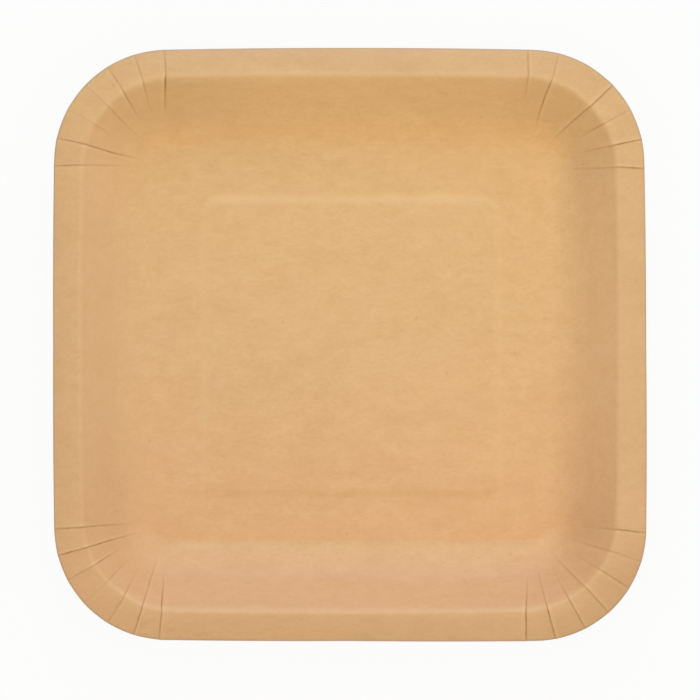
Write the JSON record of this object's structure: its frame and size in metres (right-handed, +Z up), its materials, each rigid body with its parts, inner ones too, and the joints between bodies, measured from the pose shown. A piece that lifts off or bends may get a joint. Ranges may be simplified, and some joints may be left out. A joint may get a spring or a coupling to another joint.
{
  "type": "square paper plate",
  "caption": "Square pressed kraft-board plate with rounded pleated corners, a curved wall, a flat turned-down rim and a raised centre panel.",
  "frame": {"origin": "centre of the underside, on the surface that the plate stands on", "axes": "+Z up, +Y towards the top side of the plate as the picture shows it, +X towards its right side"},
  "size_m": [0.23, 0.23, 0.0188],
  "materials": {
    "kraft_board": "matte brown kraft board with a faint horizontal fibre"
  },
  "bodies": {
    "root": {"plate": "kraft_board"}
  },
  "joints": []
}
